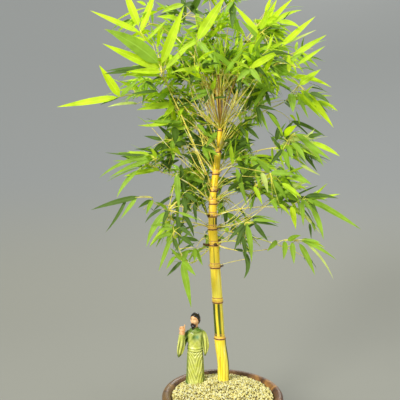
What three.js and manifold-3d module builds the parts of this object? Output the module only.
// Potted golden bamboo: one striped culm in a round glazed pot, topped with pale gravel, with a small
// ceramic scholar standing beside it. Millimetres, +Z up. The origin is the centre of the pot's flat
// underside, +X is to the right of the front view, and the front faces -Y.
import * as THREE from 'three';
import { mergeVertices } from 'three/addons/utils/BufferGeometryUtils.js';
import Module from 'manifold-3d';

const wasm = await Module();
wasm.setup();

// ---- Driving dimensions -------------------------------------------------------------------------

const FIT = 0.4; // gap left between pieces that touch
const CULM_SINK = 14; // how deep the culm stands in the gravel
const FIGURE_SINK = 2; // and the hem of the scholar's robe

const POT_HEIGHT = 170;
const POT_RADIUS = 150; // at the rolled lip
const POT_MOUTH = 127; // inner radius, where the gravel meets the wall
const POT_FOOT = 116; // radius of the flat underside
const POT_WALL = 20;
const POT_FLOOR = 14;
const POT_SIDES = 32;

const GRAVEL_EDGE = 162; // height of the gravel at the wall
const GRAVEL_CROWN = 183; // and at the top of its low mound

const CULM_SPOT = new THREE.Vector2(6, 42); // where the culm leaves the gravel
const CULM_SIDES = 10;
// Each node of the culm, from the ground up: its height, the lean of the axis to the right of the foot,
// and the radius of the internode above it.
const CULM_NODES = [
  { height: 291, lean: -10.5, radius: 13.1 },
  { height: 384, lean: -16, radius: 13.5 },
  { height: 473, lean: -22.5, radius: 13.3 },
  { height: 531, lean: -25.5, radius: 12.2 },
  { height: 572, lean: -29, radius: 11.4 },
  { height: 605, lean: -29, radius: 10.9 },
  { height: 638, lean: -28, radius: 10.4 },
  { height: 671, lean: -26, radius: 9.4 },
  { height: 715, lean: -21, radius: 8.6 },
  { height: 772, lean: -14, radius: 6.9 },
  { height: 828, lean: -10, radius: 5.6 },
  { height: 912, lean: -11, radius: 4.2 },
  { height: 972, lean: -15, radius: 3.2 },
];
const CULM_FOOT = { lean: -0.5, radius: 14.2 };
const CULM_TIP = { height: 1046, lean: -18, radius: 1.8 };
const NODE_SWELL = 1.11; // the ridge at a node, against the internode
const NODE_RIDGE = 3.4; // half the height of that ridge

const BRANCH_SIDES = 5;
const BRANCH_STEPS = 4;
const BRANCH_TAPER = 0.45; // tip radius over base radius
// Where a branch bends most, seen from its node: shares of its mass's reach outwards and up, and
// of the rise to its mass.
const BRANCH_BOW = { out: 0.42, up: 0.16 };
const BRANCH_RISE = 0.72;

// The crown in tiers. A mass of leaves has its bearing round the culm in degrees (0 is right, 90 is
// back, 180 is left, 270 is front), its reach from the culm and its height, its half sizes outwards,
// across and up, and the culm node that its branch springs from (1 is the lowest).
const TIERS = {
  skirt: [
    { side: 'left', bearing: 223, reach: 113, height: 470, half: [52, 44, 88], node: 4 },
    { side: 'front', bearing: 317, reach: 126, height: 538, half: [60, 48, 64], node: 4 },
    { side: 'right', bearing: 345, reach: 224, height: 514, half: [98, 50, 54], node: 5 },
    { side: 'back', bearing: 98, reach: 168, height: 540, half: [84, 72, 66], node: 4 },
  ],
  low: [
    { side: 'left', bearing: 185, reach: 236, height: 622, half: [90, 58, 52], node: 6 },
    { side: 'front', bearing: 207, reach: 138, height: 586, half: [62, 52, 74], node: 5 },
    { side: 'right', bearing: 353, reach: 280, height: 610, half: [100, 66, 72], node: 6 },
    { side: 'inner', bearing: 330, reach: 144, height: 672, half: [68, 60, 62], node: 7 },
    { side: 'back', bearing: 74, reach: 204, height: 650, half: [94, 98, 64], node: 6 },
  ],
  middle: [
    { side: 'left', bearing: 201, reach: 226, height: 722, half: [92, 60, 58], node: 7 },
    { side: 'inner', bearing: 174, reach: 162, height: 806, half: [82, 60, 54], node: 9 },
    { side: 'right', bearing: 343, reach: 233, height: 778, half: [88, 64, 58], node: 9 },
    { side: 'back', bearing: 50, reach: 204, height: 772, half: [88, 88, 66], node: 8 },
    { side: 'rear', bearing: 118, reach: 188, height: 732, half: [86, 82, 72], node: 8 },
  ],
  upper: [
    { side: 'left', bearing: 189, reach: 305, height: 924, half: [108, 56, 64], node: 10 },
    { side: 'inner', bearing: 173, reach: 152, height: 888, half: [66, 58, 56], node: 11 },
    { side: 'rear', bearing: 122, reach: 242, height: 892, half: [94, 88, 76], node: 10 },
    { side: 'back', bearing: 54, reach: 204, height: 912, half: [92, 88, 74], node: 11 },
    { side: 'right', bearing: 349, reach: 232, height: 902, half: [76, 60, 80], node: 10 },
    { side: 'front', bearing: 245, reach: 204, height: 958, half: [88, 78, 64], node: 11 },
    { side: 'fore', bearing: 297, reach: 200, height: 972, half: [88, 76, 66], node: 10 },
  ],
  top: [
    { side: 'left', bearing: 207, reach: 195, height: 1018, half: [108, 62, 70], node: 8, bow: { out: 0.55, up: -0.1 } },
    { side: 'outer', bearing: 193, reach: 233, height: 1116, half: [104, 60, 66], node: 12 },
    { side: 'right', bearing: 338, reach: 218, height: 1006, half: [84, 62, 62], node: 11 },
    { side: 'inner', bearing: 341, reach: 148, height: 1102, half: [94, 70, 74], node: 12 },
    { side: 'back', bearing: 82, reach: 184, height: 1058, half: [104, 104, 84], node: 12 },
    { side: 'centre', bearing: 180, reach: 10, height: 1100, half: [90, 86, 66] },
    { side: 'tip', bearing: 0, reach: 12, height: 1198, half: [90, 80, 50] },
  ],
};
const MASS_DETAIL = 2; // subdivisions of the icosahedron that a mass is shaped from
const MASS_LOBES = 12; // sprays that stand out of each mass
const MASS_LOBE_SPREAD = 0.3; // how much the sprays differ in length
const MASS_VALLEY = 0.64; // how far the surface falls back between them
const MASS_SHARPNESS = 9; // how narrow the sprays are
const MASS_DROOP = 0.3; // how far the outer end sinks, as a share of the half height
const BRANCH_RADII = { skirt: 2.2, low: 2.4, middle: 2.6, upper: 2.8, top: 3.0 };
const LEADER = { name: 'top_left', radius: 4.4 }; // the stoutest branch

const FIGURE_SPOT = new THREE.Vector2(-68, 47); // centre of the scholar's base
const FIGURE_SIDES = 12;
// The robe from hem to collar: height over the hem, half width and half depth.
const ROBE = [
  { up: 0, wide: 24, deep: 19 },
  { up: 30, wide: 23, deep: 18 },
  { up: 82, wide: 20, deep: 15 },
  { up: 90, wide: 21, deep: 16 },
  { up: 118, wide: 23, deep: 16 },
  { up: 138, wide: 21, deep: 13 },
  { up: 145, wide: 11, deep: 9 },
];
// Each sleeve, from shoulder to hanging cuff: place beside, before and over the hem's centre, and size.
const SLEEVES = {
  raised: [
    { at: [-17, 2, 137], wide: 7, deep: 8 },
    { at: [-30, -6, 122], wide: 8, deep: 9 },
    { at: [-35, -9, 100], wide: 9, deep: 8 },
    { at: [-41, -9, 68], wide: 4, deep: 4 },
  ],
  lowered: [
    { at: [17, 2, 137], wide: 7, deep: 8 },
    { at: [27, 2, 112], wide: 9, deep: 9 },
    { at: [30, 0, 92], wide: 9, deep: 8 },
    { at: [25, -4, 72], wide: 4, deep: 4 },
  ],
};
const HEAD = { centre: [0, -1, 165], half: [11.5, 12.5, 15], neck: 6.5, bun: 6, bunLift: 15 };
const HAND = { centre: [-33, -13, 138], half: [6, 6, 12] };

// ---- Geometry helpers ---------------------------------------------------------------------------

// A small seeded generator, so that every mass keeps its own shape.
function seeded(seed) {
  let state = seed;
  return () => {
    state = (state + 0x6d2b79f5) | 0;
    let mixed = Math.imul(state ^ (state >>> 15), 1 | state);
    mixed = (mixed + Math.imul(mixed ^ (mixed >>> 7), 61 | mixed)) ^ mixed;
    return ((mixed ^ (mixed >>> 14)) >>> 0) / 4294967296;
  };
}

// The geometry with its shared vertices merged, holding positions only.
function welded(geometry) {
  const bare = geometry.clone();
  bare.deleteAttribute('normal');
  bare.deleteAttribute('uv');
  return mergeVertices(bare, 1e-3);
}

function solidOf(geometry) {
  const closed = welded(geometry);
  return new wasm.Manifold(
    new wasm.Mesh({
      numProp: 3,
      vertProperties: closed.attributes.position.array,
      triVerts: new Uint32Array(closed.index.array),
    }),
  );
}

function geometryOf(solid) {
  const { vertProperties, triVerts } = solid.getMesh();
  const geometry = new THREE.BufferGeometry();
  geometry.setAttribute('position', new THREE.BufferAttribute(vertProperties, 3));
  geometry.setIndex(new THREE.BufferAttribute(triVerts, 1));
  geometry.computeVertexNormals();
  return geometry;
}

// The largest separate body of a solid, for when a cut leaves crumbs.
function mainBody(solid) {
  return solid.decompose().reduce((best, body) => (body.volume() > best.volume() ? body : best));
}

// A closed tube through rings. A ring has its centre, the direction of the tube there, and its half
// sizes along `side` and square to it. `swell` is added to every half size.
function tube(rings, sides, side, swell = 0) {
  const geometry = welded(new THREE.CylinderGeometry(1, 1, 1, sides, rings.length - 1));
  const position = geometry.attributes.position;
  const vertex = new THREE.Vector3();
  for (let i = 0; i < position.count; i++) {
    vertex.fromBufferAttribute(position, i);
    const ring = rings[Math.round((vertex.y + 0.5) * (rings.length - 1))];
    const across = side.clone().projectOnPlane(ring.along).normalize();
    const deep = new THREE.Vector3().crossVectors(across, ring.along);
    const placed = ring.centre
      .clone()
      .addScaledVector(across, vertex.x * (ring.wide + swell))
      .addScaledVector(deep, vertex.z * ((ring.deep ?? ring.wide) + swell));
    position.setXYZ(i, placed.x, placed.y, placed.z);
  }
  return geometry;
}

// A solid of revolution about +Z from a profile of [radius, height] pairs.
function turned(profile, sides) {
  const points = profile.map(([radius, height]) => new THREE.Vector2(radius, height));
  return new THREE.LatheGeometry(points, sides).rotateX(Math.PI / 2);
}

// ---- Pot and gravel -----------------------------------------------------------------------------

// The wall's outer line from foot to lip, as [radius, height].
const POT_OUTSIDE = [
  [POT_FOOT, 0],
  [POT_FOOT + 5, 4],
  [POT_FOOT + 18, 38],
  [POT_RADIUS - 5, 88],
  [POT_RADIUS - 6, POT_HEIGHT - 26],
  [POT_RADIUS - 1, POT_HEIGHT - 20],
  [POT_RADIUS, POT_HEIGHT - 9],
  [POT_RADIUS - 2, POT_HEIGHT - 2],
  [POT_RADIUS - 7, POT_HEIGHT],
];
// The inside from the lip down to the floor.
const POT_INSIDE = [
  [POT_RADIUS - 14, POT_HEIGHT - 2],
  [POT_MOUTH, POT_HEIGHT - 10],
  [POT_MOUTH, 96],
  [POT_FOOT - POT_WALL, POT_FLOOR],
];

function potGeometry() {
  const outline = [[0, 0], ...POT_OUTSIDE, ...POT_INSIDE, [0, POT_FLOOR]];
  return turned(outline, POT_SIDES);
}

function gravelGeometry(standing) {
  const wall = POT_INSIDE.filter(([, height]) => height < GRAVEL_EDGE).reverse();
  const packed = wall.map(([radius, height]) => [radius - FIT, height + FIT]);
  packed[packed.length - 1] = [POT_MOUTH - FIT, GRAVEL_EDGE];
  const mound = [0.68, 0.34].map((share) => [
    share * POT_MOUTH,
    GRAVEL_EDGE + (GRAVEL_CROWN - GRAVEL_EDGE) * (1 - share ** 2),
  ]);
  const outline = [[0, POT_FLOOR + FIT], ...packed, ...mound, [0, GRAVEL_CROWN]];
  let bed = solidOf(turned(outline, POT_SIDES));
  for (const foot of standing) bed = bed.subtract(foot);
  return geometryOf(mainBody(bed));
}

function gravelHeight(spot) {
  return GRAVEL_EDGE + (GRAVEL_CROWN - GRAVEL_EDGE) * (1 - (spot.length() / POT_MOUTH) ** 2);
}

// ---- Culm ---------------------------------------------------------------------------------------

const GROUND = gravelHeight(CULM_SPOT);

function onCulm({ height, lean }) {
  return new THREE.Vector3(CULM_SPOT.x + lean, CULM_SPOT.y, height);
}

function culmRings() {
  const foot = { height: GROUND - CULM_SINK, ...CULM_FOOT };
  const joints = [foot, ...CULM_NODES, CULM_TIP];
  const up = new THREE.Vector3(0, 0, 1);
  const rings = [{ centre: onCulm(foot), along: up, wide: foot.radius }];
  for (let i = 1; i < joints.length; i++) {
    const below = onCulm(joints[i - 1]);
    const here = onCulm(joints[i]);
    const along = here.clone().sub(below).normalize();
    const stem = joints[i - 1].radius;
    if (i === joints.length - 1) {
      rings.push({ centre: here, along, wide: joints[i].radius });
      break;
    }
    const near = here.clone().addScaledVector(along, -2 * NODE_RIDGE);
    const above = here.clone().addScaledVector(along, 2 * NODE_RIDGE);
    rings.push({ centre: near, along, wide: stem });
    rings.push({ centre: here, along, wide: stem * NODE_SWELL });
    rings.push({ centre: above, along, wide: joints[i].radius });
  }
  return rings;
}

function culmGeometry(swell = 0) {
  return tube(culmRings(), CULM_SIDES, new THREE.Vector3(1, 0, 0), swell);
}

// ---- Foliage and branches -----------------------------------------------------------------------

const SPRAYS = Object.entries(TIERS).flatMap(([tier, masses]) =>
  masses.map((mass) => ({ ...mass, tier, name: `${tier}_${mass.side}` })),
);

function outward(spray) {
  const turn = THREE.MathUtils.degToRad(spray.bearing);
  return new THREE.Vector3(Math.cos(turn), Math.sin(turn), 0);
}

// The culm's axis at a height.
function culmAxis(height) {
  const joints = [{ height: GROUND, lean: 0 }, ...CULM_NODES, CULM_TIP];
  const i = Math.max(1, joints.findIndex((joint) => joint.height >= height));
  const [low, high] = height > CULM_TIP.height ? [CULM_TIP, CULM_TIP] : [joints[i - 1], joints[i]];
  const share = (height - low.height) / (high.height - low.height || 1);
  return onCulm({ height, lean: low.lean + (high.lean - low.lean) * Math.min(share, 1) });
}

function centreOf(spray) {
  return culmAxis(spray.height).addScaledVector(outward(spray), spray.reach);
}

// An uneven mass: an ellipsoid whose surface runs out to leaf sprays and falls back between them. The
// longest spray points away from the culm, and the others turn round it at seeded heights and lengths.
function lobesOf(random) {
  const lobes = [{ way: new THREE.Vector3(1, 0, 0), size: 1 }];
  for (let i = 1; i < MASS_LOBES; i++) {
    const turn = (i / MASS_LOBES) * 4 * Math.PI + 0.6 * (random() - 0.5);
    const lift = 2 * (random() - 0.5);
    const way = new THREE.Vector3(Math.cos(turn), Math.sin(turn), lift).normalize();
    lobes.push({ way, size: 1 - MASS_LOBE_SPREAD * random() });
  }
  return lobes;
}

function massGeometry(spray, seed, swell = 0) {
  const lobes = lobesOf(seeded(seed));
  const [long, wide, tall] = spray.half;
  const geometry = welded(new THREE.IcosahedronGeometry(1, MASS_DETAIL));
  const position = geometry.attributes.position;
  const ray = new THREE.Vector3();
  const sizes = new THREE.Vector3(long, wide, tall);
  for (let i = 0; i < position.count; i++) {
    ray.fromBufferAttribute(position, i).normalize();
    const peaks = lobes.map(({ way, size }) => size * Math.max(0, ray.dot(way)) ** MASS_SHARPNESS);
    const place = ray.clone().multiply(sizes);
    place.multiplyScalar(MASS_VALLEY + (1 - MASS_VALLEY) * Math.max(...peaks));
    place.z -= MASS_DROOP * tall * Math.max(0, place.x / long);
    place.addScaledVector(ray, swell);
    position.setXYZ(i, place.x, place.y, place.z);
  }
  geometry.rotateZ(THREE.MathUtils.degToRad(spray.bearing));
  const centre = centreOf(spray);
  return geometry.translate(centre.x, centre.y, centre.z);
}

// A branch leaves its node steeply, arches over and ends in the middle of its mass.
function branchGeometry(spray, swell = 0) {
  const root = onCulm(CULM_NODES[spray.node - 1]);
  const end = centreOf(spray);
  const bow = spray.bow ?? BRANCH_BOW;
  const bend = root.clone().addScaledVector(outward(spray), bow.out * spray.reach);
  bend.z += BRANCH_RISE * (end.z - root.z) + bow.up * spray.reach;
  const curve = new THREE.QuadraticBezierCurve3(root, bend, end);
  const base = spray.name === LEADER.name ? LEADER.radius : BRANCH_RADII[spray.tier];
  const rings = Array.from({ length: BRANCH_STEPS + 1 }, (_, i) => {
    const t = i / BRANCH_STEPS;
    const wide = base * (1 - (1 - BRANCH_TAPER) * t);
    return { centre: curve.getPoint(t), along: curve.getTangent(t), wide };
  });
  const side = new THREE.Vector3().crossVectors(outward(spray), new THREE.Vector3(0, 0, 1));
  return tube(rings, BRANCH_SIDES, side, swell);
}

// Masses are cut round the culm, round the branches that pass through them and round each other.
// A branch is cut off at the culm's face and where it enters its own mass.
function crown() {
  const culmRoom = solidOf(culmGeometry(FIT));
  const carried = SPRAYS.filter((spray) => spray.node);
  const branchRooms = carried.map((spray) => ({
    name: spray.name,
    room: solidOf(branchGeometry(spray, FIT)),
  }));
  const pieces = [];
  const placed = [];
  SPRAYS.forEach((spray, i) => {
    let mass = solidOf(massGeometry(spray, i + 1)).subtract(culmRoom);
    for (const { name, room } of branchRooms) if (name !== spray.name) mass = mass.subtract(room);
    for (const room of placed) mass = mass.subtract(room);
    mass = mainBody(mass);
    const massRoom = solidOf(massGeometry(spray, i + 1, FIT));
    placed.push(massRoom);
    pieces.push({ name: `foliage_${spray.name}`, solid: mass, material: materials.leaf });
    if (spray.node) {
      const branch = solidOf(branchGeometry(spray)).subtract(culmRoom).subtract(massRoom);
      const solid = mainBody(branch);
      pieces.push({ name: `branch_${spray.name}`, solid, material: materials.branch });
    }
  });
  return pieces.map(({ name, solid, material }) => named(name, geometryOf(solid), material));
}

// ---- Scholar ------------------------------------------------------------------------------------

const FIGURE_GROUND = gravelHeight(FIGURE_SPOT) - FIGURE_SINK;

function onFigure([beside, before, up]) {
  return new THREE.Vector3(FIGURE_SPOT.x + beside, FIGURE_SPOT.y + before, FIGURE_GROUND + up);
}

function figureTube(stations, swell = 0) {
  const centres = stations.map((station) => onFigure(station.at));
  const rings = stations.map((station, i) => {
    const from = centres[Math.max(i - 1, 0)];
    const to = centres[Math.min(i + 1, centres.length - 1)];
    const along = to.clone().sub(from).normalize();
    return { centre: centres[i], along, wide: station.wide, deep: station.deep };
  });
  return tube(rings, FIGURE_SIDES, new THREE.Vector3(1, 0, 0), swell);
}

function ellipsoid({ centre, half }, swell = 0) {
  const at = onFigure(centre);
  return new THREE.SphereGeometry(1, FIGURE_SIDES, FIGURE_SIDES / 2)
    .rotateX(Math.PI / 2)
    .scale(...half.map((size) => size + swell))
    .translate(at.x, at.y, at.z);
}

function robeSolid(swell = 0) {
  const body = ROBE.map(({ up, wide, deep }) => ({ at: [0, 0, up], wide, deep }));
  return Object.values(SLEEVES).reduce(
    (robe, sleeve) => robe.add(solidOf(figureTube(sleeve, swell))),
    solidOf(figureTube(body, swell)),
  );
}

function headSolid() {
  const [x, y, up] = HEAD.centre;
  const neck = [ROBE.at(-1).up + FIT, up].map((height) => ({
    at: [x, y + 2, height],
    wide: HEAD.neck,
    deep: HEAD.neck,
  }));
  const bun = { centre: [x, y + 3, up + HEAD.bunLift], half: [HEAD.bun, HEAD.bun, HEAD.bun] };
  return solidOf(ellipsoid(HEAD)).add(solidOf(figureTube(neck))).add(solidOf(ellipsoid(bun)));
}

function figure() {
  const robeRoom = robeSolid(FIT);
  const head = mainBody(headSolid().subtract(robeRoom));
  const hand = mainBody(solidOf(ellipsoid(HAND)).subtract(robeRoom));
  return [
    named('figure_robe', geometryOf(robeSolid()), materials.robe),
    named('figure_head', geometryOf(head), materials.skin),
    named('figure_hand', geometryOf(hand), materials.skin),
  ];
}

// ---- Materials and assembly ---------------------------------------------------------------------

function finish(color, roughness, metalness = 0) {
  return new THREE.MeshStandardMaterial({ color, roughness, metalness });
}

const materials = {
  pot: finish(0x5a3c22, 0.3),
  gravel: finish(0xcdc294, 0.9),
  culm: finish(0xe6b422, 0.35),
  branch: finish(0xbfa84e, 0.6),
  leaf: finish(0x6fa51e, 0.5),
  robe: finish(0x93a83c, 0.22),
  skin: finish(0xd9a878, 0.6),
};

function named(name, geometry, material) {
  const mesh = new THREE.Mesh(geometry, material);
  mesh.name = name;
  return mesh;
}

const bamboo = new THREE.Group();
bamboo.add(
  named('pot', potGeometry(), materials.pot),
  named('gravel', gravelGeometry([solidOf(culmGeometry(FIT)), robeSolid(FIT)]), materials.gravel),
  named('culm', culmGeometry(), materials.culm),
  ...crown(),
  ...figure(),
);

export default bamboo;
